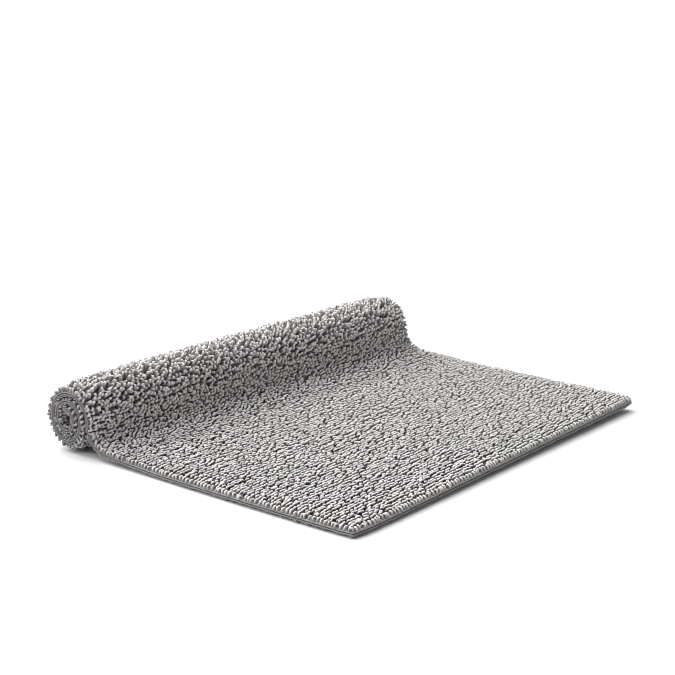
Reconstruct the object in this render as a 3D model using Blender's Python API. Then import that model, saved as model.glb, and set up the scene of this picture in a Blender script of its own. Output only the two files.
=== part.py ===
"""Two-ply loop-pile bath mat: one end lies flat, the other end is rolled up.

Frame: X runs along the mat, with the roll at -X and the free end at +X.  Y runs
across the mat, along the roll.  Z is up and the floor is z = 0.  The origin is
below the middle of the mat's box.  All values are in metres.

The mat is built round one line, its middle line, seen along Y: straight on the
floor, up the side of the roll through a crease, and round a sagging spiral.
Each piece is a strip that follows this line at its own distance from it.
"""
import math

import bmesh
import bpy
from mathutils import Vector

# Cut size of the mat, and how it lies
MAT_WIDTH = 0.500
MAT_LENGTH = 0.650
FLAT_LENGTH = 0.310
FREE_END_SKEW = 0.037

# Layers, from the middle line outwards
PLY_GAP = 0.0012
CLOTH_THICKNESS = 0.0009
HEM_THICKNESS = 0.0013
FLAT_PILE = 0.0047
ROLL_PILE = 0.0090
INNER_PILE = 0.0040

# Edges
HEM_WIDTH = 0.0040
SEAM_INSET = 0.0015
THREAD_RADIUS = 0.0003

# Roll and crease
CORE_RADIUS = 0.0075
CORE_HOLE = 0.0080
LAYER_PITCH = 0.0088
CORE_DRIFT = 0.0022
ROLL_SAG = 1.22
CREASE_RUN = 0.0515
CREASE_FLOOR_PULL = 0.045
CREASE_WALL_PULL = 0.020
PILE_RISE_ANGLE = math.radians(50.0)

# Clearances
TOUCH_GAP = 0.0003
PILE_MARGIN = 0.0004

# How the pile is divided, and how fine the curves are
FLAT_BANDS = 6
CREASE_BANDS = 1
ROLL_BANDS = 7
CREASE_STEPS = 10
HEM_STEPS = 3
TURN_STEP = math.radians(15.0)
LINE_STEP = 0.0006
CREASE_SAMPLES = 120

HALF_GAP = PLY_GAP / 2
CLOTH_TOP = HALF_GAP + CLOTH_THICKNESS
HEM_TOP = HALF_GAP + HEM_THICKNESS
PILE_ROOT = CLOTH_TOP + TOUCH_GAP
FLAT_HEIGHT = PILE_ROOT + FLAT_PILE
CLOTH_EDGE = HEM_WIDTH + TOUCH_GAP

FACE = 1
BACK = -1

YARN = ("loop_yarn", (0.40, 0.39, 0.385), 0.95)
CLOTH = ("ground_cloth", (0.34, 0.33, 0.325), 0.92)
HEM = ("hem_cloth", (0.42, 0.41, 0.405), 0.90)
THREAD = ("seam_thread", (0.30, 0.29, 0.285), 0.75)


def spread(start, end, steps):
    """Evenly spaced values from start to end."""
    return [start + (end - start) * i / steps for i in range(steps + 1)]


def path_length(points):
    """Length of a row of points."""
    return sum((after - before).length for before, after in zip(points, points[1:]))


class Spiral:
    """Shape of the rolled end and of the crease that leads up to it."""

    def __init__(self, outer_radius):
        self.outer_radius = outer_radius
        self.total_angle = 2 * math.pi * (outer_radius - CORE_RADIUS) / LAYER_PITCH
        lowest = ROLL_SAG * self.radius(1.5 * math.pi)
        self.centre_z = lowest + PILE_ROOT + ROLL_PILE
        self.flat_start_x = outer_radius + CREASE_RUN

    def radius(self, angle):
        """Radius after an angle, counted inwards from the roll's +X side."""
        return self.outer_radius - LAYER_PITCH * angle / (2 * math.pi)

    def point(self, angle):
        """Point on the spiral: its lower half sags, and its core drifts to -X."""
        radius = self.radius(angle)
        sag = ROLL_SAG if math.sin(angle) < 0 else 1.0
        x = radius * math.cos(angle) - CORE_DRIFT * angle / (2 * math.pi)
        return Vector((x, self.centre_z + sag * radius * math.sin(angle)))

    def crease_point(self, t):
        """Point on the crease, a Bezier curve from the flat up to the roll's side."""
        start = Vector((self.flat_start_x, FLAT_HEIGHT))
        end = self.point(0.0)
        heading = Vector((-(LAYER_PITCH + CORE_DRIFT) / (2 * math.pi), self.outer_radius))
        floor_pull = start - Vector((CREASE_FLOOR_PULL, 0.0))
        wall_pull = end - heading.normalized() * CREASE_WALL_PULL
        u = 1.0 - t
        return u**3 * start + 3 * u * u * t * floor_pull + 3 * u * t * t * wall_pull + t**3 * end

    def crease_points(self):
        """Fine row of points along the crease."""
        return [self.crease_point(t) for t in spread(0.0, 1.0, CREASE_SAMPLES)]

    def roll_points(self):
        """Fine row of points along the spiral."""
        steps = math.ceil(self.total_angle * self.outer_radius / LINE_STEP)
        return [self.point(angle) for angle in spread(0.0, self.total_angle, steps)]

    def mat_length(self):
        """Cut length of a mat with this roll."""
        return FLAT_LENGTH + path_length(self.crease_points()) + path_length(self.roll_points())


def fit_spiral():
    """Find the roll whose turns, with the crease and the flat, use up the cut length."""
    low = CORE_RADIUS
    high = MAT_LENGTH / 4
    for _ in range(24):
        middle = (low + high) / 2
        if Spiral(middle).mat_length() < MAT_LENGTH:
            low = middle
        else:
            high = middle
    return Spiral(high)


class MiddleLine:
    """The mat's middle line, read by the distance along it from the free end."""

    def __init__(self, spiral):
        self.spiral = spiral
        flat_end = Vector((spiral.flat_start_x + FLAT_LENGTH, FLAT_HEIGHT))
        flat_steps = math.ceil(FLAT_LENGTH / LINE_STEP)
        flat = [flat_end - Vector((run, 0.0)) for run in spread(0.0, FLAT_LENGTH, flat_steps)]
        crease = spiral.crease_points()
        roll = spiral.roll_points()
        self.points = flat[:-1] + crease[:-1] + roll
        self.distances = [0.0]
        for before, after in zip(self.points, self.points[1:]):
            self.distances.append(self.distances[-1] + (after - before).length)
        self.length = self.distances[-1]
        self.crease_end = self.distances[flat_steps + CREASE_SAMPLES]
        self.normals = [self.normal(distance) for distance in self.distances]
        self.first_turn_end = self.turn_end()

    def point(self, distance):
        """Point at a distance from the free end."""
        low = 0
        high = len(self.distances) - 1
        while high - low > 1:
            middle = (low + high) // 2
            if self.distances[middle] <= distance:
                low = middle
            else:
                high = middle
        step = self.distances[high] - self.distances[low]
        share = (distance - self.distances[low]) / step
        return self.points[low].lerp(self.points[high], share)

    def normal(self, distance):
        """Unit normal at a distance, pointing to the mat's face side."""
        before = self.point(max(0.0, distance - 2 * LINE_STEP))
        after = self.point(min(self.length, distance + 2 * LINE_STEP))
        along = (after - before).normalized()
        return Vector((along.y, -along.x))

    def turned(self, start, end):
        """Angle that the line turns through between two distances."""
        probes = [self.normal(distance) for distance in spread(start, end, 16)]
        return sum(before.angle(after) for before, after in zip(probes, probes[1:]))

    def turn_end(self):
        """Distance at which the roll's first turn is complete."""
        for distance, normal in zip(self.distances, self.normals):
            past_half = distance > self.crease_end + math.pi * self.spiral.outer_radius * 1.3
            if past_half and normal.x > 0 and normal.y > 0:
                return distance
        return self.length

    def room(self, distance, side):
        """Height free for pile on one side: to the floor, or half way to the next layer.

        Half way is the radius of the ball that touches the line here and there.
        """
        here = self.point(distance)
        normal = self.normal(distance)
        toward = side * normal
        free = MAT_LENGTH
        if toward.y < -0.05:
            free = here.y / -toward.y - PILE_ROOT
        for other, at, other_normal in zip(self.points, self.distances, self.normals):
            offset = other - here
            height = offset.dot(toward)
            if height > 0 and abs(at - distance) > math.pi * CORE_RADIUS * 0.8:
                spare = PILE_MARGIN if normal.dot(other_normal) > 0 else CORE_HOLE
                ball = offset.length_squared / (2 * height)
                free = min(free, ball - spare / 2 - PILE_ROOT)
        return free

    def pile_height(self, distance, side):
        """Pile height at a distance: its free height, or what the roll leaves it."""
        rise_length = PILE_RISE_ANGLE * self.spiral.outer_radius
        share = min(1.0, max(0.0, distance - self.crease_end) / rise_length)
        if side == FACE and distance < self.first_turn_end:
            height = FLAT_PILE + (ROLL_PILE - FLAT_PILE) * share
        else:
            height = FLAT_PILE + (INNER_PILE - FLAT_PILE) * share
        return min(height, self.room(distance, side))


class MatBuilder:
    """Makes the mat's pieces as strips and threads along its middle line."""

    def __init__(self, line):
        self.line = line
        self.materials = {}
        self.free_end_x = line.spiral.flat_start_x + FLAT_LENGTH
        reach = PILE_ROOT + ROLL_PILE
        tips = [point.x + normal.x * reach for point, normal in zip(line.points, line.normals)]
        self.shift_x = -(min(tips) + self.free_end_x) / 2
        self.bands = self.band_stations()

    def band_stations(self):
        """Distances of the stations in each pile band, from the free end to the core."""
        line = self.line
        bands = []
        edges = spread(CLOTH_EDGE, FLAT_LENGTH, FLAT_BANDS)
        for start, end in zip(edges, edges[1:]):
            bands.append([start, end])
        edges = spread(FLAT_LENGTH, line.crease_end, CREASE_BANDS)
        for start, end in zip(edges, edges[1:]):
            bands.append(spread(start, end, CREASE_STEPS // CREASE_BANDS))
        edges = spread(line.crease_end, line.length - CLOTH_EDGE, ROLL_BANDS)
        for start, end in zip(edges, edges[1:]):
            steps = max(2, math.ceil(line.turned(start, end) / TURN_STEP))
            bands.append(spread(start, end, steps))
        return bands

    def all_stations(self, start, end):
        """The bands' stations in one row, with finer ones in the end hem, cut to a start and an end."""
        core_end = spread(self.line.length - CLOTH_EDGE, self.line.length, HEM_STEPS)
        inside = [distance for band in self.bands for distance in band[1:]] + core_end[1:]
        kept = [distance for distance in inside if start + TOUCH_GAP < distance < end - TOUCH_GAP]
        return [start] + kept + [end]

    def material(self, finish):
        """Principled material of one finish, made once."""
        name, colour, roughness = finish
        if name not in self.materials:
            material = bpy.data.materials.new(name)
            material.use_nodes = True
            shader = material.node_tree.nodes["Principled BSDF"]
            shader.inputs["Base Color"].default_value = (*colour, 1.0)
            shader.inputs["Roughness"].default_value = roughness
            shader.inputs["Metallic"].default_value = 0.0
            self.materials[name] = material
        return self.materials[name]

    def place(self, distance, offset, y):
        """Position of a point: distance along, offset to the face side, and y across.

        The flat stretch is a little shorter at the back than at the front.
        """
        section = self.line.point(distance) + self.line.normal(distance) * offset
        flat_share = max(0.0, 1.0 - distance / FLAT_LENGTH)
        skew = FREE_END_SKEW * flat_share * y / MAT_WIDTH
        return Vector((section.x - skew + self.shift_x, y - MAT_WIDTH / 2, section.y))

    def strip(self, name, finish, stations, low, high, front, back):
        """Solid strip from front to back across the mat.

        A ladder of section faces runs along the stations, between the offsets low
        and high, and is extruded to the back.
        """
        rails = []
        for distance, inner, outer in zip(stations, low, high):
            rails += [(distance, inner), (distance, outer)]
        bm = bmesh.new()
        near = [bm.verts.new(self.place(distance, offset, front)) for distance, offset in rails]
        for i in range(0, len(near) - 2, 2):
            bm.faces.new((near[i], near[i + 1], near[i + 3], near[i + 2]))
        rail_at = {vert.co.copy().freeze(): rail for vert, rail in zip(near, rails)}
        grown = bmesh.ops.extrude_face_region(bm, geom=bm.faces[:])["geom"]
        for vert in grown:
            if isinstance(vert, bmesh.types.BMVert):
                distance, offset = rail_at[vert.co.copy().freeze()]
                vert.co = self.place(distance, offset, back)
        bmesh.ops.recalc_face_normals(bm, faces=bm.faces[:])
        mesh = bpy.data.meshes.new(name)
        bm.to_mesh(mesh)
        bm.free()
        mesh.materials.append(self.material(finish))
        mesh.shade_smooth()
        mesh.set_sharp_from_angle(angle=math.radians(40.0))
        piece = bpy.data.objects.new(name, mesh)
        bpy.context.scene.collection.objects.link(piece)
        return piece

    def layer(self, name, finish, side, stations, root, top, front, back):
        """Strip of even thickness on one side of the middle line."""
        low = [side * root] * len(stations)
        high = [side * top] * len(stations)
        return self.strip(name, finish, stations, low, high, front, back)

    def thread(self, name, places):
        """Seam thread along a row of positions."""
        curve = bpy.data.curves.new(name, "CURVE")
        curve.dimensions = "3D"
        curve.bevel_depth = THREAD_RADIUS
        curve.bevel_resolution = 1
        curve.use_fill_caps = True
        spline = curve.splines.new("POLY")
        spline.points.add(len(places) - 1)
        for point, place in zip(spline.points, places):
            point.co = (*place, 1.0)
        curve.materials.append(self.material(THREAD))
        piece = bpy.data.objects.new(name, curve)
        bpy.context.scene.collection.objects.link(piece)
        return piece

    def cloths(self):
        """The two woven ground cloths, one for each side of the mat."""
        stations = self.all_stations(CLOTH_EDGE, self.line.length - CLOTH_EDGE)
        for name, side in (("face_cloth", FACE), ("back_cloth", BACK)):
            self.layer(name, CLOTH, side, stations, HALF_GAP, CLOTH_TOP, CLOTH_EDGE, MAT_WIDTH - CLOTH_EDGE)

    def hems(self):
        """Hems: front and back over the whole length, the two ends between them."""
        length = self.line.length
        long_run = self.all_stations(0.0, length)
        for ply, side in (("face", FACE), ("back", BACK)):
            runs = (
                ("front", long_run, 0.0, HEM_WIDTH),
                ("back", long_run, MAT_WIDTH - HEM_WIDTH, MAT_WIDTH),
                ("free_end", [0.0, HEM_WIDTH], CLOTH_EDGE, MAT_WIDTH - CLOTH_EDGE),
                ("rolled_end", spread(length - HEM_WIDTH, length, HEM_STEPS), CLOTH_EDGE, MAT_WIDTH - CLOTH_EDGE),
            )
            for edge, stations, front, back in runs:
                name = f"{ply}_hem_{edge}"
                self.layer(name, HEM, side, stations, HALF_GAP, HEM_TOP, front, back)

    def seams(self):
        """Closing seam threads that join the two plies, in the gap between the hems."""
        length = self.line.length
        long_run = self.all_stations(SEAM_INSET, length - SEAM_INSET)
        clear = SEAM_INSET + 2 * THREAD_RADIUS + TOUCH_GAP
        for edge, y in (("front", SEAM_INSET), ("back", MAT_WIDTH - SEAM_INSET)):
            self.thread(f"seam_{edge}", [self.place(distance, 0.0, y) for distance in long_run])
        for edge, distance in (("free_end", SEAM_INSET), ("rolled_end", length - SEAM_INSET)):
            ends = (clear, MAT_WIDTH - clear)
            self.thread(f"seam_{edge}", [self.place(distance, 0.0, y) for y in ends])

    def pile(self):
        """Bands of loop rows on both sides, numbered from the free end."""
        for ply, side in (("face", FACE), ("back", BACK)):
            for number, band in enumerate(self.bands, 1):
                stations = list(band)
                if number > 1:
                    stations[0] += TOUCH_GAP / 2
                if number < len(self.bands):
                    stations[-1] -= TOUCH_GAP / 2
                low = [side * PILE_ROOT] * len(stations)
                high = [side * (PILE_ROOT + self.line.pile_height(at, side)) for at in stations]
                name = f"{ply}_loops_{number:02d}"
                self.strip(name, YARN, stations, low, high, CLOTH_EDGE, MAT_WIDTH - CLOTH_EDGE)


def clear_scene():
    """Remove every object of the start scene."""
    for old in list(bpy.data.objects):
        bpy.data.objects.remove(old, do_unlink=True)


def main():
    """Build the whole mat."""
    clear_scene()
    builder = MatBuilder(MiddleLine(fit_spiral()))
    builder.cloths()
    builder.hems()
    builder.seams()
    builder.pile()


main()
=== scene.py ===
"""Looks of the rolled two-ply bath mat: yarn loops, ground cloths, hems, seams and studio.

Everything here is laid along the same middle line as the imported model: straight
on the floor, up through a crease and round a sagging spiral.  A piece is first
modelled flat, as it was cut: X is the distance from the free end, Y the distance
from the front edge and Z the height from the middle line towards the face side.
The mat's line then lays it in place.
"""
import logging
import math
from dataclasses import dataclass
from enum import Enum
from typing import Callable

import bmesh
import bpy
import numpy as np
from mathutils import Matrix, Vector


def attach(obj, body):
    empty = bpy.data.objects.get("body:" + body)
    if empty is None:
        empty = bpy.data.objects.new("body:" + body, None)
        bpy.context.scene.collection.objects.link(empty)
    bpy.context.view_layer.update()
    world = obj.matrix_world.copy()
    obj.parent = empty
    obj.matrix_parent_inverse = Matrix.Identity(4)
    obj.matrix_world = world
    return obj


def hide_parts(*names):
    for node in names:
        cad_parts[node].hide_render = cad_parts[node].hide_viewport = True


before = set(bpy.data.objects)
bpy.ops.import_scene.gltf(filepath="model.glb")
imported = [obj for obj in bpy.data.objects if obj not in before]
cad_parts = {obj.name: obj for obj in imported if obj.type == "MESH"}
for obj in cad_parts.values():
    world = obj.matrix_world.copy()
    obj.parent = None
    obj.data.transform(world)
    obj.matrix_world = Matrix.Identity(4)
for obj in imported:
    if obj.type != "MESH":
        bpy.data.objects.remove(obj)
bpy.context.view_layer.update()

logging.basicConfig(level=logging.INFO, format="%(message)s")
LOG = logging.getLogger("bath_mat")

TAU = 2 * math.pi


class Side(Enum):
    """The two sides of the mat: the face is up on the floor and outside on the roll."""

    FACE = 1
    BACK = -1

    @property
    def word(self) -> str:
        """Name used in node and piece names."""
        return self.name.lower()


@dataclass(frozen=True)
class MatSizes:
    """Driving sizes of the mat, in metres.

    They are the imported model's, apart from the hem's thickness, the skew and the last
    six, which shape the edges and corners of the visual model only.
    """

    width: float = 0.500
    length: float = 0.650
    flat: float = 0.310
    skew: float = 0.042
    ply_gap: float = 0.0012
    cloth: float = 0.0009
    hem: float = 0.0010
    hem_width: float = 0.0040
    seam_inset: float = 0.0015
    thread_radius: float = 0.0003
    flat_pile: float = 0.0047
    roll_pile: float = 0.0090
    inner_pile: float = 0.0040
    touch: float = 0.0003
    pile_margin: float = 0.0004
    core_radius: float = 0.0075
    core_hole: float = 0.0080
    pitch: float = 0.0088
    drift: float = 0.0022
    sag: float = 1.22
    crease_run: float = 0.0515
    floor_pull: float = 0.045
    wall_pull: float = 0.020
    pile_rise: float = math.radians(50.0)
    edge_drop: float = 0.0021
    edge_drop_reach: float = 0.010
    front_bow: float = 0.0012
    back_bow: float = 0.0095
    corner_lift: float = 0.0045
    corner_pull: float = 0.0040

    @property
    def pile_root(self) -> float:
        """Height of the loops' feet above the middle line."""
        return self.ply_gap / 2 + self.cloth + self.touch

    @property
    def flat_height(self) -> float:
        """Height of the middle line above the floor where the mat lies flat."""
        return self.pile_root + self.flat_pile

    @property
    def cloth_edge(self) -> float:
        """Distance from a cut edge to the ground cloth."""
        return self.hem_width + self.touch


def run_lengths(points: np.ndarray) -> np.ndarray:
    """Distance along a row of points, starting at 0."""
    steps = np.linalg.norm(np.diff(points, axis=0), axis=1)
    return np.concatenate([[0.0], np.cumsum(steps)])


class MatLine:
    """The mat's middle line, seen along Y, read by the distance from the free end."""

    STEP = 0.0006
    CREASE_SAMPLES = 120
    FIT_ROUNDS = 24
    GRID_POINTS = 400
    LOWEST_TURN = 0.75
    NEAR_SHARE = 0.8
    LATE_SHARE = 1.3
    OPEN_AIR = 1.0
    FACES_FLOOR = -0.05
    FLAT_BLEND = 0.05
    PULL_REACH = 0.018
    PULL_ALONG_EDGE = 0.5
    # Distances from the free end, and how far the back edge bows out at each of them.
    BACK_EDGE = ((0.0, 0.08, 0.26, 0.325, 0.375), (0.65, 1.0, 1.1, 1.3, 0.0))

    def __init__(self, sizes: MatSizes) -> None:
        """Fit the roll to the cut length and sample the line finely.

        Args:
            sizes: the mat's sizes.
        """
        self.sizes = sizes
        self.outer_radius = self.fit_roll()
        flat_start = self.outer_radius + sizes.crease_run
        flat_steps = math.ceil(sizes.flat / self.STEP) + 1
        flat_x = flat_start + np.linspace(sizes.flat, 0.0, flat_steps)
        flat = np.column_stack([flat_x, np.full(len(flat_x), sizes.flat_height)])
        crease = self.crease(self.outer_radius)
        roll = self.roll(self.outer_radius)
        self.points = np.concatenate([flat[:-1], crease[:-1], roll])
        self.distances = run_lengths(self.points)
        self.length = float(self.distances[-1])
        self.crease_end = float(self.distances[len(flat) + len(crease) - 2])
        along = np.gradient(self.points, self.distances, axis=0)
        along /= np.linalg.norm(along, axis=1)[:, None]
        self.tangents = along
        self.normals = np.column_stack([along[:, 1], -along[:, 0]])
        self.turn_end = self.first_turn_end()
        low_x = (self.points + self.normals * (sizes.pile_root + sizes.roll_pile))[:, 0].min()
        self.shift_x = -(low_x + flat_start + sizes.flat) / 2
        self.grid = np.linspace(0.0, self.length, self.GRID_POINTS)
        self.heights = {side: self.pile_heights(side) for side in Side}

    def centre_z(self, outer_radius: float) -> float:
        """Height of the roll's centre, with its lowest loops on the floor."""
        lowest = self.sizes.sag * (outer_radius - self.LOWEST_TURN * self.sizes.pitch)
        return lowest + self.sizes.pile_root + self.sizes.roll_pile

    def roll(self, outer_radius: float) -> np.ndarray:
        """Points on the spiral, from the roll's +X side inwards.

        Args:
            outer_radius: radius at which the spiral starts.

        Returns:
            Rows of (x, z).
        """
        sizes = self.sizes
        total = TAU * (outer_radius - sizes.core_radius) / sizes.pitch
        angle = np.linspace(0.0, total, math.ceil(total * outer_radius / self.STEP) + 1)
        radius = outer_radius - sizes.pitch * angle / TAU
        sag = np.where(np.sin(angle) < 0, sizes.sag, 1.0)
        x = radius * np.cos(angle) - sizes.drift * angle / TAU
        return np.column_stack([x, self.centre_z(outer_radius) + sag * radius * np.sin(angle)])

    def crease(self, outer_radius: float) -> np.ndarray:
        """Points on the crease, a Bezier curve from the flat up to the roll's side.

        Args:
            outer_radius: radius at which the spiral starts.

        Returns:
            Rows of (x, z).
        """
        sizes = self.sizes
        start = np.array([outer_radius + sizes.crease_run, sizes.flat_height])
        end = np.array([outer_radius, self.centre_z(outer_radius)])
        heading = np.array([-(sizes.pitch + sizes.drift) / TAU, outer_radius])
        heading /= np.linalg.norm(heading)
        pulls = start - [sizes.floor_pull, 0.0], end - heading * sizes.wall_pull
        t = np.linspace(0.0, 1.0, self.CREASE_SAMPLES + 1)[:, None]
        u = 1.0 - t
        return u**3 * start + 3 * u * u * t * pulls[0] + 3 * u * t * t * pulls[1] + t**3 * end

    def fit_roll(self) -> float:
        """Outer radius at which flat, crease and spiral use up the cut length.

        Returns:
            The radius, found by halving.
        """
        low, high = self.sizes.core_radius, self.sizes.length / 4
        for _ in range(self.FIT_ROUNDS):
            middle = (low + high) / 2
            used = run_lengths(self.crease(middle))[-1]
            used += run_lengths(self.roll(middle))[-1]
            if self.sizes.flat + used < self.sizes.length:
                low = middle
            else:
                high = middle
        return high

    def first_turn_end(self) -> float:
        """Distance at which the roll's first turn is complete.

        Returns:
            The distance from the free end.
        """
        half_turn = math.pi * self.outer_radius
        late = self.distances > self.crease_end + self.LATE_SHARE * half_turn
        outward = (self.normals[:, 0] > 0) & (self.normals[:, 1] > 0)
        return float(self.distances[late & outward][0])

    def pile_heights(self, side: Side) -> np.ndarray:
        """Pile height at each distance of the grid: free, or what the roll leaves it.

        Args:
            side: the side whose pile it is.

        Returns:
            One height for each place of the grid.
        """
        sizes = self.sizes
        points, _, normals = self.at(self.grid)
        toward = side.value * normals
        offset = self.points[None] - points[:, None]
        height = np.einsum("ijk,ik->ij", offset, toward)
        run = np.abs(self.distances[None] - self.grid[:, None])
        apart = run > self.NEAR_SHARE * math.pi * sizes.core_radius
        same_way = normals @ self.normals.T > 0
        spare = np.where(same_way, sizes.pile_margin, sizes.core_hole)
        ball = (offset**2).sum(2) / (2 * np.maximum(height, 1e-9))
        left = ball - spare / 2 - sizes.pile_root
        room = np.where(apart & (height > 0), left, self.OPEN_AIR).min(1)
        down = np.minimum(toward[:, 1], self.FACES_FLOOR)
        above_floor = points[:, 1] / -down - sizes.pile_root
        floor = np.where(toward[:, 1] < self.FACES_FLOOR, above_floor, self.OPEN_AIR)
        rise = sizes.pile_rise * self.outer_radius
        share = np.clip((self.grid - self.crease_end) / rise, 0.0, 1.0)
        outside = (side is Side.FACE) & (self.grid < self.turn_end)
        goal = np.where(outside, sizes.roll_pile, sizes.inner_pile)
        free = sizes.flat_pile + (goal - sizes.flat_pile) * share
        return np.minimum(free, np.minimum(room, floor))

    def at(self, distance: np.ndarray) -> tuple[np.ndarray, np.ndarray, np.ndarray]:
        """Point, tangent and face normal at each distance, as rows of (x, z).

        Args:
            distance: distances from the free end.

        Returns:
            Points, tangents and normals.
        """
        found = []
        for table in (self.points, self.tangents, self.normals):
            values = [np.interp(distance, self.distances, table[:, k]) for k in (0, 1)]
            found.append(np.column_stack(values))
        return found[0], found[1], found[2]

    def lay(self, cut: np.ndarray) -> np.ndarray:
        """Lay points of the flat cut along the line.

        Args:
            cut: rows of (distance from the free end, from the front edge, height).

        Returns:
            Rows of (x, y, z) in the row frame.
        """
        sizes = self.sizes
        distance, from_front = cut[:, 0], cut[:, 1]
        inside = np.clip(distance, 0.0, self.length)
        point, tangent, normal = self.at(inside)
        place = point + normal * cut[:, 2:3] + tangent * (distance - inside)[:, None]
        flat_share = np.maximum(0.0, 1.0 - distance / sizes.flat)
        skew = sizes.skew * flat_share * from_front / sizes.width
        across = np.clip(from_front / sizes.width, 0.0, 1.0)
        on_flat = np.clip((sizes.flat - distance) / self.FLAT_BLEND, 0.0, 1.0)
        to_edge = np.maximum(np.minimum(from_front, distance), 0.0)
        drop = sizes.edge_drop * on_flat * np.exp(-to_edge / sizes.edge_drop_reach)
        lift = sizes.corner_lift * np.clip(flat_share, 0.0, 1.0) ** 2 * across
        front = sizes.front_bow * np.sin(np.clip(distance / sizes.flat, 0.0, 1.0) * math.pi)
        back = sizes.back_bow * across**2 * np.interp(distance, *self.BACK_EDGE)
        to_corner = np.maximum(distance, 0.0) + np.maximum(from_front, 0.0)
        pull = sizes.corner_pull * np.exp(-to_corner / self.PULL_REACH)
        x = place[:, 0] - skew + self.shift_x - pull
        y = from_front - sizes.width / 2 - front * (1.0 - across) + back
        y = y + self.PULL_ALONG_EDGE * pull
        return np.column_stack([x, y, place[:, 1] - drop + lift])


class Wire:
    """A shader socket that takes part in Python sums; numbers become Math inputs."""

    def __init__(self, bench: "Bench", socket: bpy.types.NodeSocket) -> None:
        """Hold the socket and the bench that owns its nodes."""
        self.bench = bench
        self.socket = socket

    def math(self, operation: str, *others: "Wire | float", first: bool = True) -> "Wire":
        """Math node with this wire first, or last when first is False."""
        values = [self, *others] if first else [*others, self]
        return self.bench.add("ShaderNodeMath", {"operation": operation}, dict(enumerate(values)))

    def __add__(self, other: "Wire | float") -> "Wire":
        """Sum."""
        return self.math("ADD", other)

    def __sub__(self, other: "Wire | float") -> "Wire":
        """Difference."""
        return self.math("SUBTRACT", other)

    def __rsub__(self, other: float) -> "Wire":
        """Difference with a number first."""
        return self.math("SUBTRACT", other, first=False)

    def __mul__(self, other: "Wire | float") -> "Wire":
        """Product."""
        return self.math("MULTIPLY", other)

    __radd__ = __add__
    __rmul__ = __mul__

    def sin(self) -> "Wire":
        """Sine."""
        return self.math("SINE")

    def smooth(self, low: float, high: float) -> "Wire":
        """0 below low, 1 above high and smooth between."""
        inputs = {"Value": self, "From Min": low, "From Max": high}
        return self.bench.add("ShaderNodeMapRange", {"interpolation_type": "SMOOTHSTEP"}, inputs)


class Bench:
    """One material's node tree, built by a single add method."""

    def __init__(self, name: str) -> None:
        """Start a material with only its output and a Principled shader.

        Args:
            name: the material's name.
        """
        self.material = bpy.data.materials.new(name)
        self.material.use_nodes = True
        self.tree = self.material.node_tree
        self.shader = self.tree.nodes["Principled BSDF"]

    def add(
        self,
        kind: str,
        settings: dict | None = None,
        inputs: dict | None = None,
        out: int | str = 0,
    ) -> Wire:
        """Add any node.

        Args:
            kind: the node's type.
            settings: properties that are set before its sockets.
            inputs: values or wires by socket name or number.
            out: the output that is returned.

        Returns:
            The chosen output as a wire.
        """
        node = self.tree.nodes.new(kind)
        for key, value in (settings or {}).items():
            setattr(node, key, value)
        for key, value in (inputs or {}).items():
            self.plug(node.inputs[key], value)
        return Wire(self, node.outputs[out])

    def plug(self, socket: bpy.types.NodeSocket, value: "Wire | float | tuple") -> None:
        """Link a wire to a socket, or set the socket's value.

        Args:
            socket: the input to fill.
            value: what goes into it.
        """
        if isinstance(value, Wire):
            self.tree.links.new(value.socket, socket)
        else:
            socket.default_value = value

    def finish(self, **inputs: "Wire | float | tuple") -> bpy.types.Material:
        """Set the Principled shader's sockets, with _ for a space, and return the material.

        Args:
            inputs: values or wires by socket name.

        Returns:
            The material.
        """
        for key, value in inputs.items():
            self.plug(self.shader.inputs[key.replace("_", " ")], value)
        return self.material

    def mix(self, share: "Wire | float", first: "Wire | tuple", second: "Wire | tuple") -> Wire:
        """Mix of two colours."""
        inputs = {0: share, 6: first, 7: second}
        return self.add("ShaderNodeMix", {"data_type": "RGBA"}, inputs, out=2)

    def uv(self, axis: str) -> Wire:
        """One axis of the piece's own UV map."""
        spot = self.add("ShaderNodeUVMap", {"uv_map": "Lay"})
        return self.add("ShaderNodeSeparateXYZ", None, {0: spot}, out=axis)

    def bump(self, height: Wire, distance: float) -> Wire:
        """Normal bent by a height, whose full step is a distance in metres."""
        inputs = {"Height": height, "Distance": distance, "Strength": 1.0}
        return self.add("ShaderNodeBump", None, inputs, out="Normal")

    def noise(self, scale: float, detail: float) -> Wire:
        """Noise in the piece's own space."""
        spot = self.add("ShaderNodeTexCoord", out="Object")
        return self.add("ShaderNodeTexNoise", None, {0: spot, "Scale": scale, "Detail": detail})

    def attribute(self, name: str) -> Wire:
        """One of the piece's own number attributes."""
        return self.add("ShaderNodeAttribute", {"attribute_name": name}, out="Fac")


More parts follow.
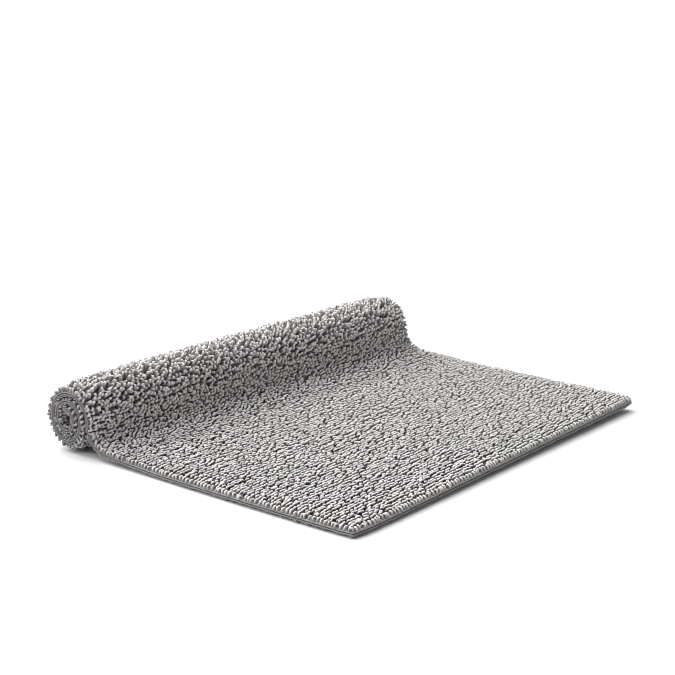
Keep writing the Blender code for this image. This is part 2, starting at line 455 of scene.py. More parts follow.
@dataclass(frozen=True)
class YarnFinish:
    """Soft twisted cotton yarn of the loops.

    The loops carry a UV map in yarn diameters along and turns around the yarn, and
    two attributes: tone, one value for a loop, and depth, 0 at the foot to 1 on top.
    Depth mixes the near-black foot colour in as painted shade between the loops.
    """

    name: str = "loop_yarn"
    dark: tuple = (0.690, 0.664, 0.657, 1.0)
    light: tuple = (0.960, 0.925, 0.915, 1.0)
    # foot: near-black painted shade, mixed in towards the loops' feet by depth
    foot: tuple = (0.045, 0.043, 0.042, 1.0)
    twist_per_diameter: float = 1.1
    twist_depth: float = 0.00022
    fibre_depth: float = 0.00010
    tone_share: float = 0.70
    cloud_share: float = 0.18
    fibre_share: float = 0.12
    cloud_scale: float = 24.0
    fibre_scale: float = 1900.0
    strands: int = 2
    # lit_depth: depth above which the painted shade is gone
    lit_depth: float = 0.95
    roughness: float = 0.95
    sheen: float = 0.25
    sheen_roughness: float = 0.6

    def material(self) -> bpy.types.Material:
        """Build the material.

        Returns:
            The yarn's material.
        """
        bench = Bench(self.name)
        fibre = bench.noise(self.fibre_scale, 2.0)
        cloud = bench.noise(self.cloud_scale, 1.0)
        turns = bench.uv("X") * self.twist_per_diameter + bench.uv("Y")
        ridge = 0.5 + 0.5 * (turns * (TAU * self.strands)).sin()
        shade = self.tone_share * bench.attribute("tone")
        shade = shade + self.cloud_share * cloud + self.fibre_share * fibre
        colour = bench.mix(shade, self.dark, self.light)
        # Painted shade: each loop darkens towards its foot, following the depth attribute
        lit = bench.attribute("depth").smooth(0.0, self.lit_depth)
        colour = bench.mix(lit, self.foot, colour)
        step = self.twist_depth + self.fibre_depth
        height = ridge * (self.twist_depth / step) + fibre * (self.fibre_depth / step)
        return bench.finish(
            Base_Color=colour,
            Roughness=self.roughness,
            Normal=bench.bump(height, step),
            Sheen_Weight=self.sheen,
            Sheen_Roughness=self.sheen_roughness,
        )


@dataclass(frozen=True)
class WeaveFinish:
    """Plain woven cotton, with its UV map in metres along and across the cut."""

    name: str
    dark: tuple
    light: tuple
    threads_per_metre: float
    depth: float
    weave_share: float = 0.45
    grain_share: float = 0.25
    slub_share: float = 0.30
    weave_height: float = 0.75
    grain_scale: float = 2600.0
    slub_scale: float = 90.0
    roughness: float = 0.92
    sheen: float = 0.15

    def material(self) -> bpy.types.Material:
        """Build the material.

        Returns:
            The cloth's material.
        """
        bench = Bench(self.name)
        grain = bench.noise(self.grain_scale, 2.0)
        slub = bench.noise(self.slub_scale, 2.0)
        turn = TAU * self.threads_per_metre / 2
        warp = (bench.uv("X") * turn).sin()
        weft = (bench.uv("Y") * turn).sin()
        weave = 0.5 + 0.5 * (warp * weft)
        shade = self.weave_share * weave + self.grain_share * grain + self.slub_share * slub
        height = self.weave_height * weave + (1.0 - self.weave_height) * grain
        return bench.finish(
            Base_Color=bench.mix(shade, self.dark, self.light),
            Roughness=self.roughness,
            Normal=bench.bump(height, self.depth),
            Sheen_Weight=self.sheen,
        )


# The ground cloth is coloured far darker than the grey yarn, as painted shade in the gaps between
# the loops.
GROUND_CLOTH = WeaveFinish(
    name="ground_cloth",
    dark=(0.12, 0.116, 0.114, 1),
    light=(0.26, 0.251, 0.248, 1),
    threads_per_metre=1400.0,
    depth=0.0002,
)
# The hems are coloured darker than the yarn, as painted shade along the mat's edges.
HEM_CLOTH = WeaveFinish(
    name="hem_cloth",
    dark=(0.14, 0.135, 0.133, 1),
    light=(0.44, 0.424, 0.418, 1),
    threads_per_metre=1600.0,
    depth=0.00015,
)


@dataclass(frozen=True)
class ThreadFinish:
    """Twisted sewing thread, with its UV map in metres along and turns around."""

    name: str = "seam_thread"
    # Dark, as painted shade in the gap between the plies.
    dark: tuple = (0.07, 0.068, 0.066, 1.0)
    light: tuple = (0.20, 0.195, 0.19, 1.0)
    lays_per_metre: float = 900.0
    strands: float = 2.0
    depth: float = 0.00008
    roughness: float = 0.7

    def material(self) -> bpy.types.Material:
        """Build the material.

        Returns:
            The thread's material.
        """
        bench = Bench(self.name)
        turns = bench.uv("X") * self.lays_per_metre + bench.uv("Y") * self.strands
        strand = 0.5 + 0.5 * (turns * TAU).sin()
        colour = bench.mix(strand, self.dark, self.light)
        normal = bench.bump(strand, self.depth)
        return bench.finish(Base_Color=colour, Roughness=self.roughness, Normal=normal)


def deselect_all() -> None:
    """Leave object mode with nothing selected."""
    if bpy.context.object and bpy.context.object.mode != "OBJECT":
        bpy.ops.object.mode_set(mode="OBJECT")
    bpy.ops.object.select_all(action="DESELECT")


def select_parts(piece: bpy.types.Object, kind: str, test: Callable) -> int:
    """In edit mode, select only the edges or faces that pass a test.

    Args:
        piece: the object in edit mode.
        kind: "edges" or "faces".
        test: a function of one bmesh edge or face.

    Returns:
        How many were selected.
    """
    bpy.ops.mesh.select_mode(type="EDGE" if kind == "edges" else "FACE")
    bpy.ops.mesh.select_all(action="DESELECT")
    bm = bmesh.from_edit_mesh(piece.data)
    chosen = [part for part in getattr(bm, kind) if test(part)]
    for part in chosen:
        part.select_set(True)
    bm.select_flush_mode()
    bmesh.update_edit_mesh(piece.data)
    return len(chosen)


def apply_modifier(piece: bpy.types.Object, kind: str, **settings: object) -> None:
    """Add a modifier with its settings and apply it.

    Args:
        piece: the object.
        kind: the modifier's type.
        settings: its properties.
    """
    modifier = piece.modifiers.new(kind, kind)
    for key, value in settings.items():
        setattr(modifier, key, value)
    bpy.context.view_layer.objects.active = piece
    bpy.ops.object.modifier_apply(modifier=modifier.name)


def vertex_array(mesh: bpy.types.Mesh) -> np.ndarray:
    """A mesh's vertices as rows of (x, y, z).

    Args:
        mesh: the mesh to read.

    Returns:
        One row for each vertex.
    """
    flat = np.empty(len(mesh.vertices) * 3)
    mesh.vertices.foreach_get("co", flat)
    return flat.reshape(-1, 3)


def write_uv(mesh: bpy.types.Mesh, corners: np.ndarray) -> None:
    """Give a mesh the UV map that its material reads, one row for each face corner."""
    layer = mesh.uv_layers.get("Lay") or mesh.uv_layers.new(name="Lay")
    layer.data.foreach_set("uv", corners.astype(np.float32).ravel())


def corner_vertices(mesh: bpy.types.Mesh) -> np.ndarray:
    """The vertex number of each face corner.

    Args:
        mesh: the mesh to read.

    Returns:
        One number for each corner, face by face.
    """
    found = np.empty(len(mesh.loops), dtype=np.int32)
    mesh.loops.foreach_get("vertex_index", found)
    return found


class Strip:
    """A flat strip of cloth or a thread, modelled as cut and then laid along the line."""

    ALONG_SHARE = 0.98
    SHORTEST_CUT = 0.0015

    def __init__(self, line: MatLine, name: str, low: tuple, high: tuple) -> None:
        """Start with a block between two corners of the flat cut.

        Args:
            line: the mat's middle line.
            name: the CAD node it stands for.
            low: the lower corner.
            high: the upper corner.
        """
        self.line = line
        self.name = name
        deselect_all()
        size = [above - below for below, above in zip(low, high)]
        middle = [(below + above) / 2 for below, above in zip(low, high)]
        bpy.ops.mesh.primitive_cube_add(size=1.0, location=middle, scale=size)
        self.piece = bpy.context.object
        self.piece.name = self.piece.data.name = name
        bpy.ops.object.transform_apply(location=True, rotation=False, scale=True)

    def round_edges(self, width: float, segments: int) -> None:
        """Round the block's edges."""
        apply_modifier(self.piece, "BEVEL", width=width, segments=segments, limit_method="NONE")

    def cut(self, axis: int, cuts: tuple) -> None:
        """Subdivide the strip along one axis, once for each number of cuts.

        Args:
            axis: 0 along the mat or 1 across it.
            cuts: how many cuts each time.
        """

        def runs_along(edge: bmesh.types.BMEdge) -> bool:
            """Whether an edge runs along the axis and isn't part of a rounding."""
            span = edge.verts[1].co - edge.verts[0].co
            along = abs(span[axis])
            return along > self.ALONG_SHARE * span.length and along > self.SHORTEST_CUT

        bpy.ops.object.mode_set(mode="EDIT")
        for number in cuts:
            select_parts(self.piece, "edges", runs_along)
            bpy.ops.mesh.subdivide(number_cuts=number)
        bpy.ops.object.mode_set(mode="OBJECT")

    def lay(
        self,
        material: bpy.types.Material,
        slot: str,
        waves: Callable | None = None,
    ) -> bpy.types.Object:
        """Finish the strip: its UV map, its place along the line, its material and body.

        Args:
            material: the finish.
            slot: not used.
            waves: moves the cut points first.

        Returns:
            The finished piece.
        """
        mesh = self.piece.data
        cut = vertex_array(mesh)
        write_uv(mesh, cut[corner_vertices(mesh)][:, :2])
        if waves is not None:
            cut = waves(cut)
        mesh.vertices.foreach_set("co", self.line.lay(cut).ravel())
        mesh.update()
        return dress(self.piece, material, self.name)


def dress(
    piece: bpy.types.Object,
    material: bpy.types.Material,
    node: str,
) -> bpy.types.Object:
    """Give a piece its material, body and CAD node.

    Args:
        piece: the finished object.
        material: its material.
        node: the CAD node it replaces.

    Returns:
        The piece.
    """
    deselect_all()
    mesh = piece.data
    mesh.polygons.foreach_set("use_smooth", [True] * len(mesh.polygons))
    mesh.materials.clear()
    mesh.materials.append(material)
    piece.name = mesh.name = "mat_" + node
    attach(piece, "root")
    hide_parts(node)
    LOG.info("%s: %d faces", piece.name, len(mesh.polygons))
    return piece


@dataclass(frozen=True)
class YarnLoop:
    """One loop of pile yarn: an arch on two short legs, standing across the mat."""

    sides: int
    bends: int
    yarn: float = 0.0027
    flatten: float = 0.80
    arch: float = 0.0022
    leg: float = 0.0010
    weld: float = 0.00001
    level: float = 0.00005

    def model(self) -> "LoopShape":
        """Model the loop: a ring of yarn is spun into an arch and its ends are drawn down.

        Returns:
            The shape, ready to be copied.
        """
        deselect_all()
        foot = (0.0, self.arch, self.leg)
        bpy.ops.mesh.primitive_circle_add(
            vertices=self.sides, radius=self.yarn / 2, fill_type="NGON", location=foot
        )
        piece = bpy.context.object
        bpy.ops.object.transform_apply(location=True, rotation=False, scale=False)
        bpy.ops.object.mode_set(mode="EDIT")
        bpy.ops.mesh.select_all(action="SELECT")
        bpy.ops.transform.resize(value=(1.0, self.flatten, 1.0), center_override=foot)
        middle = (0.0, 0.0, self.leg)
        bpy.ops.mesh.spin(steps=self.bends, angle=-math.pi, center=middle, axis=(1.0, 0.0, 0.0))
        bpy.ops.mesh.select_all(action="SELECT")
        bpy.ops.mesh.remove_doubles(threshold=self.weld)
        bpy.ops.mesh.fill_holes(sides=0)

        def is_end(face: bmesh.types.BMFace) -> bool:
            """Whether a face is one of the arch's two ends."""
            return all(abs(vert.co.z - self.leg) < self.level for vert in face.verts)

        select_parts(piece, "faces", is_end)
        bpy.ops.mesh.extrude_region_move(TRANSFORM_OT_translate={"value": (0.0, 0.0, -self.leg)})
        bpy.ops.mesh.select_all(action="SELECT")
        bpy.ops.mesh.normals_make_consistent(inside=False)
        bpy.ops.object.mode_set(mode="OBJECT")
        return LoopShape(piece, self)


class LoopShape:
    """A modelled loop's points, faces and yarn coordinates."""

    def __init__(self, piece: bpy.types.Object, loop: YarnLoop) -> None:
        """Read the modelled loop, then remove it from the scene.

        Args:
            piece: the modelled loop.
            loop: the sizes it was made with.
        """
        mesh = piece.data
        self.loop = loop
        self.points = vertex_array(mesh)
        self.height = self.points[:, 2].max()
        self.corners = corner_vertices(mesh)
        self.face_sizes = np.array([len(face.vertices) for face in mesh.polygons], dtype=np.int32)
        self.uv = self.yarn_uv()
        bpy.data.objects.remove(piece)
        bpy.data.meshes.remove(mesh)

    def yarn_uv(self) -> np.ndarray:
        """Distance along the yarn in diameters, and turns around it, for each face corner.

        Returns:
            One row for each face corner.
        """
        loop = self.loop
        x, y, z = self.points.T
        rise = z - loop.leg
        on_leg = rise < -1e-5
        radial = np.where(on_leg, np.abs(y), np.hypot(y, rise)) - loop.arch
        bend = np.where(on_leg, 0.0, np.arctan2(np.maximum(rise, 0.0), np.abs(y)))
        half = loop.leg + loop.arch * math.pi / 2
        up = np.where(on_leg, z, loop.leg + loop.arch * bend)
        along = np.where(y > 0, up, 2 * half - up) / loop.yarn
        around = np.arctan2(x, radial / loop.flatten) / TAU
        spots = np.column_stack([along, around])[self.corners]
        start = 0
        for size in self.face_sizes:
            face = spots[start : start + size]
            if face[:, 1].max() - face[:, 1].min() > 0.5:
                face[:, 1] += face[:, 1] < 0
            start += size
        return spots


@dataclass(frozen=True)
class PileLay:
    """How the loops of one side stand and are shaded: spacings, unevenness and painted shade, in
    metres, radians and shares.

    A name that starts with roll or far holds on the outside of the roll, or towards its
    far end, and one that starts with end holds in the rows along the two short ends.
    """

    row_pitch: float = 0.0049
    loop_pitch: float = 0.0055
    edge: float = 0.0036
    end_row: float = 0.0036
    end_pitch: float = 0.0048
    end_gap: float = 0.0044
    roll_crowding: float = 0.50
    roll_closeness: float = 0.12
    wander: float = 0.00028
    jitter: float = 0.00025
    roll_jitter: float = 0.00075
    slip: float = 0.0012
    order_reach: float = 0.020
    comb: float = math.radians(-10.0)
    roll_comb: float = math.radians(50.0)
    flat_turn: float = math.radians(13.0)
    roll_turn: float = math.radians(34.0)
    flat_lean: float = 0.15
    roll_lean: float = 0.12
    droop: float = 0.26
    edge_lean: float = 0.40
    size_spread: float = 0.08
    height_spread: float = 0.09
    roll_fluff: float = 0.14
    roll_tuck: float = 0.20
    far_fine: float = 0.26
    far_order: float = 0.50
    # far_glow: less painted shade on the roll towards its far end
    far_glow: float = 0.14
    end_reach: float = 0.018
    near_drop: float = 0.0046
    far_drop: float = 0.0030
    exposed_height: float = 0.86
    edge_jitter: float = 0.0006
    tip_tilt: float = 0.05
    # shade_depth to fold_reach set the painted shade: a loop darkens over shade_depth below its
    # top; roll_glow, edge_glow and end_glow lighten it on the roll and on exposed edge and end
    # loops, and the fold values darken the crease as a painted shadow of the roll.
    shade_depth: float = 0.0018
    roll_glow: float = 0.50
    edge_glow: float = 0.44
    end_glow: float = 0.40
    fold_start: float = 0.002
    fold_shade: float = 0.90
    fold_dim: float = 0.28
    fold_reach: float = 0.018
    under_edge: float = 0.0042
    roll_edge: float = 0.0028
    roll_height: float = 0.14
    count_spread: float = 0.5
    slip_limit: float = 1.2
    row_slip: float = 0.002
    waves: int = 6
    wave_length: float = 0.016
    wave_start: float = 1.6
    wave_phase: float = 5.0
    end_overhang: float = 0.001
    end_jitter: float = 0.0005
    end_turn: float = 0.15
    loose_start: float = 0.006
    loose_run: float = 0.75
    loose_crease: float = 0.85
    base_height: float = 0.97
    flat_unevenness: float = 0.5
    height_limits: tuple = (0.6, 1.3)
    width_limits: tuple = (0.75, 1.25)
    length_limits: tuple = (0.75, 1.3)
    edge_rows: float = 2.5
    tip_loose: float = 2.0
    lean_curve: float = 1.4
    lean_limit: float = 1.2
    # shown_gain: how fast exposure at the edges and ends sets the painted shade's lift
    shown_gain: float = 2.0
    uv_starts: float = 5.0
    floor_gap: float = 0.0002


class Pile:
    """All loops of one side of the mat, made band by band as the CAD model has them."""

    BANDS = 14
    FLAT_BANDS = 6
    TURN_STEP = 0.003

    def __init__(self, line: MatLine, side: Side, loop: YarnLoop, lay: PileLay, seed: int) -> None:
        """Set where the loops stand and how each one lies.

        Args:
            line: the mat's middle line.
            side: the side it stands on.
            loop: the loop to copy.
            lay: how the loops stand.
            seed: start of the random draws.
        """
        self.line = line
        self.side = side
        self.lay = lay
        self.rng = np.random.default_rng(seed)
        self.shape = loop.model()
        sizes = line.sizes
        spare = (line.heights[side] - sizes.flat_pile) / (sizes.roll_pile - sizes.flat_pile)
        self.tallness = np.clip(spare, 0.0, 1.0)
        self.feet = self.plant()
        self.places = self.bend_loops()

    def plant(self) -> np.ndarray:
        """Feet of all loops on the flat cut, as rows of (distance, y, along the end).

        Returns:
            One row for each loop; the last value is 1 in the rows along the short ends.
        """
        sizes, lay, rng = self.line.sizes, self.lay, self.rng
        rows = []
        for distance in self.row_distances():
            edge = self.edge_of_row(distance)
            closeness = 1.0 + lay.roll_closeness * float(self.crowding(distance))
            even = (sizes.width - 2 * edge) * closeness / lay.loop_pitch
            loops = round(even + rng.uniform(-lay.count_spread, lay.count_spread))
            y = np.linspace(edge, sizes.width - edge, loops)
            free = 1.0 - np.exp(-np.minimum(y, sizes.width - y)[1:-1] / lay.order_reach)
            slips = np.clip(rng.normal(0.0, 1.0, loops - 2), -lay.slip_limit, lay.slip_limit)
            y[1:-1] += free * (lay.slip * slips + rng.uniform(-lay.row_slip, lay.row_slip))
            y[[0, -1]] += rng.normal(0.0, lay.edge_jitter, 2)
            wave = self.row_wave(y)
            spot = lay.jitter + (lay.roll_jitter - lay.jitter) * self.looseness(distance)
            x = distance + lay.wander * wave + rng.normal(0.0, spot, loops)
            rows.append(np.column_stack([x, y, np.zeros(loops)]))
        ends = round((sizes.width - 2 * lay.edge) / lay.end_pitch)
        free_row = lay.end_row if self.side is Side.FACE else lay.under_edge
        for distance in (free_row, self.line.length - lay.end_row):
            first = lay.edge - lay.end_overhang
            y = np.linspace(first, sizes.width - first, ends)
            y = y + rng.normal(0.0, lay.end_jitter, ends)
            x = distance + rng.normal(0.0, lay.edge_jitter, ends)
            rows.append(np.column_stack([x, y, np.ones(ends)]))
        return np.concatenate(rows)

    def row_wave(self, y: np.ndarray) -> np.ndarray:
        """A row's wander from a straight line, as a sum of random waves.

        Args:
            y: the loops' distances from the front edge.

        Returns:
            The wander of each loop, to be scaled.
        """
        lay = self.lay
        bends = self.rng.normal(0.0, 1.0, 2 * lay.waves)
        wave = np.zeros(len(y))
        for k in range(lay.waves):
            length = lay.wave_length * (k + lay.wave_start)
            wave += bends[k] * np.sin(TAU * y / length + bends[-k - 1] * lay.wave_phase)
        return wave

    def looseness(self, distance: np.ndarray | float) -> np.ndarray | float:
        """How far the rows have opened up: 0 on the flat, 1 on the outside of the roll.

        Args:
            distance: distances from the free end.

        Returns:
            A share for each distance.
        """
        lay, flat = self.lay, self.line.sizes.flat
        run = lay.loose_run * (self.line.crease_end - flat)
        rolled = np.clip((distance - flat - lay.loose_start) / run, 0.0, 1.0)
        tall = np.interp(distance, self.line.grid, self.tallness)
        return np.maximum(tall, lay.loose_crease * rolled)

    def crowding(self, distance: np.ndarray | float) -> np.ndarray | float:
        """How much closer loops stand: up to 1 on the face's outside turn, else 0."""
        outside = (self.side is Side.FACE) & (np.asarray(distance) < self.line.turn_end)
        return np.where(outside, self.looseness(distance), 0.0)

    def edge_of_row(self, distance: float) -> float:
        """How far a row's first and last loops stand from the mat's edges."""
        flat = self.lay.edge if self.side is Side.FACE else self.lay.under_edge
        return flat + (self.lay.roll_edge - flat) * float(self.looseness(distance))

    def row_distances(self) -> np.ndarray:
        """Distance of each row: they stand closer where the pile is tall.

        Returns:
            The rows' distances from the free end.
        """
        line, lay = self.line, self.lay
        rate = (1.0 + lay.roll_crowding * self.crowding(line.grid)) / lay.row_pitch
        steps = (rate[1:] + rate[:-1]) / 2 * np.diff(line.grid)
        count = np.concatenate([[0.0], np.cumsum(steps)])
        first_row = lay.end_row if self.side is Side.FACE else lay.under_edge
        ends = [first_row + lay.end_gap, line.length - lay.end_row - lay.end_gap]
        first, last = np.interp(ends, line.grid, count)
        return np.interp(np.linspace(first, last, round(last - first) + 1), count, line.grid)

    def bend_loops(self) -> np.ndarray:
        """Vertices of all loops in place, one block of rows for each loop.

        Returns:
            An array of (loop, vertex, axis).
        """
        line, lay, rng, shape = self.line, self.lay, self.rng, self.shape
        sizes = line.sizes
        distance, y, at_end = self.feet.T
        number = len(distance)
        loose = self.looseness(distance)
        room = np.interp(distance, line.grid, line.heights[self.side])
        tall = np.interp(distance, line.grid, self.tallness)
        near, far = np.exp(-y / lay.end_reach), np.exp((y - sizes.width) / lay.end_reach)
        height = room - tall * (lay.near_drop * near + lay.far_drop * far)
        calm = y / sizes.width
        wild = 1.0 - lay.far_order * calm
        uneven = rng.normal(0.0, lay.height_spread, number) * (lay.flat_unevenness + loose * wild)
        height *= np.clip(lay.base_height + lay.roll_height * tall + uneven, *lay.height_limits)
        to_edge = np.minimum(y, sizes.width - y)
        beside = np.clip(1.0 - to_edge / (lay.edge_rows * lay.edge), 0.0, 1.0)
        exposed = np.maximum(beside, at_end)
        height *= 1.0 - (1.0 - lay.exposed_height) * exposed
        spread = lay.flat_turn + (lay.roll_turn * wild - lay.flat_turn) * loose
        turn = lay.comb + (lay.roll_comb - lay.comb) * loose
        turn = turn + rng.normal(0.0, 1.0, number) * spread
        end_turn = math.pi / 2 + rng.normal(0.0, lay.end_turn, number)
        turn = np.where(at_end > 0, end_turn, turn)
        lean = lay.flat_lean + (lay.roll_lean - lay.flat_lean) * tall
        lean_s = rng.normal(0.0, 1.0, number) * lean
        lean_y = rng.normal(0.0, 1.0, number) * lean
        if self.side is Side.FACE:
            lean_y += lay.edge_lean * beside * np.sign(y - sizes.width / 2)
        _, tangent, _ = line.at(distance)
        lean_s = np.where(at_end > 0, 0.0, lean_s - lay.droop * tall * tangent[:, 1])
        tip = rng.normal(0.0, 1.0, number) * lay.tip_tilt * (1.0 + lay.tip_loose * loose)
        width = np.clip(rng.normal(1.0, lay.size_spread, number), *lay.width_limits)
        width *= 1.0 + (lay.roll_fluff - lay.far_fine * calm) * loose
        length = np.clip(rng.normal(1.0, lay.size_spread, number), *lay.length_limits)
        length *= 1.0 - lay.roll_tuck * loose

        px, py, pz = shape.points.T
        crown = np.clip(pz / shape.loop.leg, 0.0, 1.0)
        grow = np.maximum(height - shape.height, 0.0)[:, None] * crown
        squeeze = np.minimum(height / shape.height, 1.0)[:, None]
        z = pz * squeeze + grow + (tip[:, None] * py * crown) * squeeze
        across = px * width[:, None]
        along = py * length[:, None]
        sine, cosine = np.sin(turn)[:, None], np.cos(turn)[:, None]
        share = np.clip(z / height[:, None], 0.0, lay.lean_limit)
        reach = share**lay.lean_curve * height[:, None]
        ds = across * cosine + along * sine + lean_s[:, None] * reach
        dy = along * cosine - across * sine + lean_y[:, None] * reach
        stretch = 1.0 + self.turn_rate(distance)[:, None] * (sizes.pile_root + z)
        ds = ds / np.maximum(stretch, 1.0)
        z = sizes.pile_root + np.maximum(z, 0.0)
        x_cut, y_cut = distance[:, None] + ds, y[:, None] + dy
        cut = np.column_stack([x_cut.ravel(), y_cut.ravel(), self.side.value * z.ravel()])
        # Painted shade: depth falls from 1 on a loop's top to 0 a shade_depth lower, darkening the
        # feet between loops; glow keeps loops lighter on the roll and at exposed edges and ends.
        below = (z.max(axis=1, keepdims=True) - z) / lay.shade_depth
        shown = np.minimum(1.0, lay.shown_gain * exposed)
        # fold darkens the loops in the crease as a painted shadow of the roll.
        fold = np.exp(-(((distance - sizes.flat - lay.fold_start) / lay.fold_reach) ** 2))
        glow = (lay.roll_glow + lay.far_glow * calm) * loose
        glow *= (1.0 - lay.fold_shade * fold) * (1.0 - shown)
        glow += shown * (lay.edge_glow + (lay.end_glow - lay.edge_glow) * loose)
        self.depth = np.clip(1.0 - below, glow[:, None], 1.0 - lay.fold_dim * fold[:, None])
        self.tone = rng.uniform(0.0, 1.0, number)
        starts = rng.uniform(0.0, lay.uv_starts, number)
        self.uv_shift = np.column_stack([starts, rng.uniform(0.0, 1.0, number)])
        places = line.lay(cut)
        places[:, 2] = np.maximum(places[:, 2], lay.floor_gap)
        return places.reshape(number, -1, 3)

    def turn_rate(self, distance: np.ndarray) -> np.ndarray:
        """How fast this side stretches with height, in parts for each metre.

        Args:
            distance: distances from the free end.

        Returns:
            One rate for each distance.
        """
        line, step = self.line, self.TURN_STEP
        before = line.at(np.clip(distance - step, 0, line.length))[2]
        after = line.at(np.clip(distance + step, 0, line.length))[2]
        tangent = line.at(distance)[1]
        return self.side.value * ((after - before) * tangent).sum(1) / (2 * step)

    def band_edges(self) -> np.ndarray:
        """Distances between the CAD model's bands.

        Returns:
            One more distance than there are bands.
        """
        line, sizes = self.line, self.line.sizes
        flat = np.linspace(sizes.cloth_edge, sizes.flat, self.FLAT_BANDS + 1)
        last = line.length - sizes.cloth_edge
        rolled = np.linspace(line.crease_end, last, self.BANDS - self.FLAT_BANDS)
        return np.concatenate([[-1.0], flat[1:], rolled[:-1], [line.length + 1.0]])

    def build(self, material: bpy.types.Material) -> list[bpy.types.Object]:
        """Make one piece for each band.

        Args:
            material: the yarn.

        Returns:
            The pieces, from the free end to the core.
        """
        edges = self.band_edges()
        made = []
        distance = self.feet[:, 0]
        for band in range(self.BANDS):
            inside = (distance >= edges[band]) & (distance < edges[band + 1])
            node = f"{self.side.word}_loops_{band + 1:02d}"
            made.append(self.band_piece(node, np.flatnonzero(inside), material))
        return made

    def band_piece(
        self,
        node: str,
        chosen: np.ndarray,
        material: bpy.types.Material,
    ) -> bpy.types.Object:
        """Copy the loop to each chosen place, as one mesh.

        Args:
            node: the CAD node it stands for.
            chosen: numbers of the loops.
            material: the yarn.

        Returns:
            The finished piece.
        """
        shape = self.shape
        points, count = len(shape.points), len(chosen)
        corners = (shape.corners[None] + points * np.arange(count)[:, None]).ravel()
        sizes = np.tile(shape.face_sizes, count)
        mesh = bpy.data.meshes.new(node)
        mesh.vertices.add(points * count)
        mesh.vertices.foreach_set("co", self.places[chosen].ravel())
        mesh.loops.add(len(corners))
        mesh.loops.foreach_set("vertex_index", corners.astype(np.int32))
        mesh.polygons.add(len(sizes))
        starts = np.concatenate([[0], np.cumsum(sizes)[:-1]])
        mesh.polygons.foreach_set("loop_start", starts.astype(np.int32))
        mesh.update(calc_edges=True)
        spots = shape.uv[None] + self.uv_shift[chosen][:, None, :]
        write_uv(mesh, spots.reshape(-1, 2))
        tone = np.repeat(self.tone[chosen], points)
        # depth carries the painted shade that the yarn material mixes in
        for name, values in (("tone", tone), ("depth", self.depth[chosen].ravel())):
            layer = mesh.attributes.new(name, "FLOAT", "POINT")
            layer.data.foreach_set("value", values.astype(np.float32))
        mesh.validate()
        piece = bpy.data.objects.new(node, mesh)
        bpy.context.scene.collection.objects.link(piece)
        if self.side is Side.BACK:
            self.turn_out(piece)
        return dress(piece, material, node)

    def turn_out(self, piece: bpy.types.Object) -> None:
        """Turn the faces of loops that were laid upside down to point outwards.

        Args:
            piece: the band of loops.
        """
        deselect_all()
        piece.select_set(True)
        bpy.context.view_layer.objects.active = piece
        bpy.ops.object.mode_set(mode="EDIT")
        bpy.ops.mesh.select_all(action="SELECT")
        bpy.ops.mesh.flip_normals()
        bpy.ops.object.mode_set(mode="OBJECT")


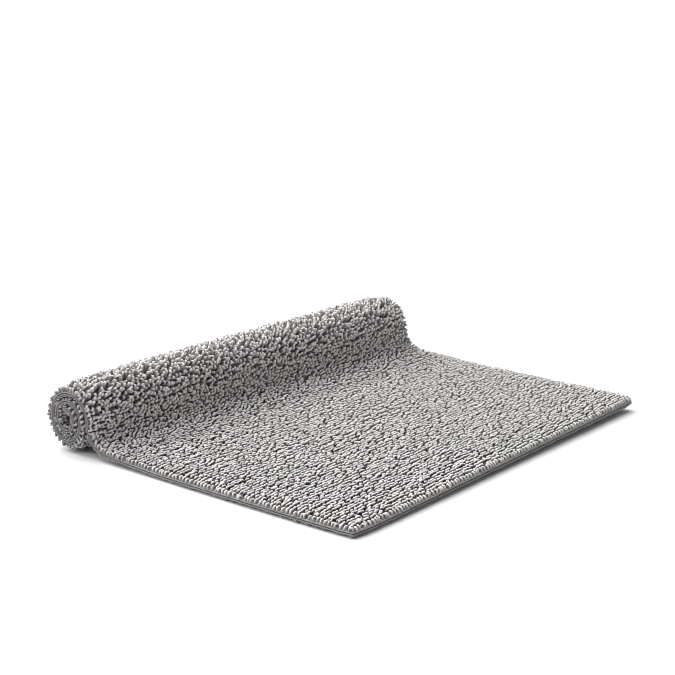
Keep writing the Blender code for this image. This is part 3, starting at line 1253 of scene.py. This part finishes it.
@dataclass
class Ground:
    """The two ground cloths, their hems and the seam threads between them."""

    line: MatLine
    long_cuts: tuple = (24, 12)
    cloth_cuts: tuple = (30,)
    hem_cuts: tuple = ((24, 12), (60,))
    hem_rounding: float = 0.0005
    hem_segments: int = 3
    thread_rounding: float = 0.9
    thread_segments: int = 2
    ripple: float = 0.00012
    ripple_pitch: float = 0.0061

    def layer(self, side: Side, thickness: float) -> list[float]:
        """Lowest and highest level of one side's cloth or hem."""
        inner = self.line.sizes.ply_gap / 2
        return sorted((side.value * inner, side.value * (inner + thickness)))

    def rim(self, sides: tuple, long_from: float, short_from: float) -> dict[str, tuple]:
        """Four strips round the rim: long ones at the front and back, short ones between.

        Args:
            sides: how far a strip's two sides are from the mat's edge.
            long_from: how far the long strips' ends are from it.
            short_from: how far the short strips' ends are from it.

        Returns:
            Each strip's axis, low corner and high corner, by name.
        """
        near, far = sides
        length, width = self.line.length, self.line.sizes.width
        long_to, short_to = length - long_from, width - short_from
        return {
            "front": (0, (long_from, near), (long_to, far)),
            "back": (0, (long_from, width - far), (long_to, width - near)),
            "free_end": (1, (near, short_from), (far, short_to)),
            "rolled_end": (1, (length - far, short_from), (length - near, short_to)),
        }

    def cloth(self, side: Side, material: bpy.types.Material) -> bpy.types.Object:
        """One ground cloth.

        Args:
            side: the side it lies on.
            material: the woven cloth.

        Returns:
            The finished piece.
        """
        sizes = self.line.sizes
        edge, length = sizes.cloth_edge, self.line.length
        z_low, z_high = self.layer(side, sizes.cloth)
        low = (edge, edge, z_low)
        high = (length - edge, sizes.width - edge, z_high)
        strip = Strip(self.line, f"{side.word}_cloth", low, high)
        strip.cut(0, self.long_cuts)
        strip.cut(1, self.cloth_cuts)
        return strip.lay(material, "ground_cloth")

    def hems(self, side: Side, material: bpy.types.Material) -> list[bpy.types.Object]:
        """The four hems of one side.

        Args:
            side: the side they edge.
            material: the hem's cloth.

        Returns:
            The finished pieces.
        """
        wide = self.line.sizes.hem_width
        z_low, z_high = self.layer(side, self.line.sizes.hem)
        made = []
        for word, (axis, low, high) in self.rim((0.0, wide), 0.0, wide).items():
            strip = Strip(self.line, f"{side.word}_hem_{word}", (*low, z_low), (*high, z_high))
            strip.round_edges(self.hem_rounding, self.hem_segments)
            strip.cut(axis, self.hem_cuts[axis])
            made.append(strip.lay(material, "hem_cloth", self.pucker))
        return made

    def pucker(self, cut: np.ndarray) -> np.ndarray:
        """Draw a hem in a little where its stitches pull.

        Args:
            cut: rows of the flat cut.

        Returns:
            The moved rows.
        """
        moved = cut.copy()
        run = cut[:, 0] + cut[:, 1]
        moved[:, 2] += self.ripple * np.sin(run * TAU / self.ripple_pitch) * np.sign(cut[:, 2])
        return moved

    def seams(self, material: bpy.types.Material) -> list[bpy.types.Object]:
        """The four seam threads in the gap between the plies.

        Args:
            material: the thread.

        Returns:
            The finished pieces.
        """
        inset, thick = self.line.sizes.seam_inset, self.line.sizes.thread_radius
        sides = (inset - thick, inset + thick)
        made = []
        for word, (axis, low, high) in self.rim(sides, inset, inset + 2 * thick).items():
            strip = Strip(self.line, f"seam_{word}", (*low, -thick), (*high, thick))
            strip.round_edges(thick * self.thread_rounding, self.thread_segments)
            strip.cut(axis, self.long_cuts)
            made.append(strip.lay(material, "seam_thread"))
        return made


@dataclass(frozen=True)
class Lamp:
    """One soft, far lamp, given by where its light comes from."""

    name: str
    comes_from: tuple
    strength: float
    softness: float

    def build(self) -> None:
        """Add the lamp."""
        data = bpy.data.lights.new(self.name, "SUN")
        data.energy = self.strength
        data.angle = self.softness
        lamp = bpy.data.objects.new(self.name, data)
        lamp.rotation_euler = Vector(self.comes_from).to_track_quat("Z", "Y").to_euler()
        bpy.context.scene.collection.objects.link(lamp)


@dataclass(frozen=True)
class Studio:
    """Pale floor, soft light and the camera."""

    floor_size: float = 40.0
    floor_tone: float = 0.79
    floor_spread: float = 0.01
    floor_cloud: float = 0.6
    floor_roughness: float = 0.9
    sky: float = 0.28
    lamps: tuple = (
        Lamp("overhead", (-0.34, 0.10, 1.0), 2.25, math.radians(50.0)),
        Lamp("back_left", (-1.0, 0.20, 0.78), 2.70, math.radians(55.0)),
        Lamp("front_left", (-0.8, -1.0, 0.80), 1.10, math.radians(25.0)),
    )
    camera_place: tuple = (1.4700, -1.6872, 0.7125)
    camera_pitch: float = math.radians(15.23)
    camera_yaw: float = math.radians(41.66)
    lens: float = 118.57
    sensor_width: float = 36.0
    filter_width: float = 0.8

    def build(self) -> None:
        """Make the floor, the lamps, the sky and the camera."""
        bench = Bench("studio_floor")
        cloud = bench.noise(self.floor_cloud, 1.0)
        low, high = self.floor_tone - self.floor_spread, self.floor_tone
        colour = bench.mix(cloud, (low, low, low, 1.0), (high, high, high, 1.0))
        floor_paint = bench.finish(Base_Color=colour, Roughness=self.floor_roughness)
        deselect_all()
        bpy.ops.mesh.primitive_plane_add(size=self.floor_size, location=(0.0, 0.0, 0.0))
        floor = bpy.context.object
        floor.name = "studio_floor"
        floor.data.materials.append(floor_paint)
        for lamp in self.lamps:
            lamp.build()
        world = bpy.data.worlds.new("studio_sky")
        world.use_nodes = True
        sky = world.node_tree.nodes["Background"]
        sky.inputs["Color"].default_value = (1.0, 1.0, 1.0, 1.0)
        sky.inputs["Strength"].default_value = self.sky
        bpy.context.scene.world = world
        data = bpy.data.cameras.new("studio_camera")
        data.sensor_width = self.sensor_width
        data.lens = self.lens
        camera = bpy.data.objects.new("studio_camera", data)
        camera.location = self.camera_place
        camera.rotation_euler = (math.pi / 2 - self.camera_pitch, 0.0, self.camera_yaw)
        bpy.context.scene.collection.objects.link(camera)
        bpy.context.scene.camera = camera
        bpy.context.scene.view_settings.view_transform = "Standard"
        bpy.context.scene.cycles.filter_width = self.filter_width


class BathMat:
    """The whole mat: piles, ground cloths, hems and seams."""

    SEEDS = {Side.FACE: 11, Side.BACK: 23}

    def __init__(self, sizes: MatSizes) -> None:
        """Work out the mat's line and where its loops stand."""
        self.line = MatLine(sizes)
        self.ground = Ground(self.line)

    def build(self) -> None:
        """Build every piece."""
        yarn = YarnFinish().material()
        cloth = GROUND_CLOTH.material()
        hem = HEM_CLOTH.material()
        thread = ThreadFinish().material()
        loops = {
            Side.FACE: YarnLoop(sides=6, bends=3),
            Side.BACK: YarnLoop(sides=5, bends=2),
        }
        seams = self.ground.seams(thread)
        for side in Side:
            pile = Pile(self.line, side, loops[side], PileLay(), self.SEEDS[side])
            bands = pile.build(yarn)
            hems = self.ground.hems(side, hem)
            sheet = self.ground.cloth(side, cloth)


def main() -> None:
    """Build the mat and its studio."""
    BathMat(MatSizes()).build()
    Studio().build()


if __name__ == "__main__":
    main()
